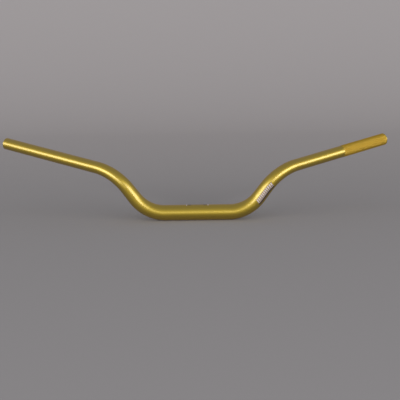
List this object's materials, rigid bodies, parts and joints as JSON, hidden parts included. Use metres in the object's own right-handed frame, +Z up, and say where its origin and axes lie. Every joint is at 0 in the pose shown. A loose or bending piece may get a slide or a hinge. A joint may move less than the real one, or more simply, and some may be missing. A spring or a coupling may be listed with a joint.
{
  "type": "motorcycle handlebar",
  "caption": "Tapered motorcycle handlebar in gold anodised aluminium: clamp section, risers, swept-back grips, one with a knurled band, and a small film label.",
  "frame": {"origin": "middle of the clamp section, on the tube's axis", "axes": "+X along the clamp section to the rider's left, the clutch side; +Y back to the rider; +Z up, with the risers upright"},
  "size_m": [0.7439, 0.1456, 0.1394],
  "materials": {
    "gold_anodised_aluminium": "satin gold anodised",
    "printed_film": "printed vinyl film, dark ground with pale shapes"
  },
  "bodies": {
    "root": {"handlebar_tube": "gold_anodised_aluminium", "riser_label": "printed_film"}
  },
  "joints": []
}
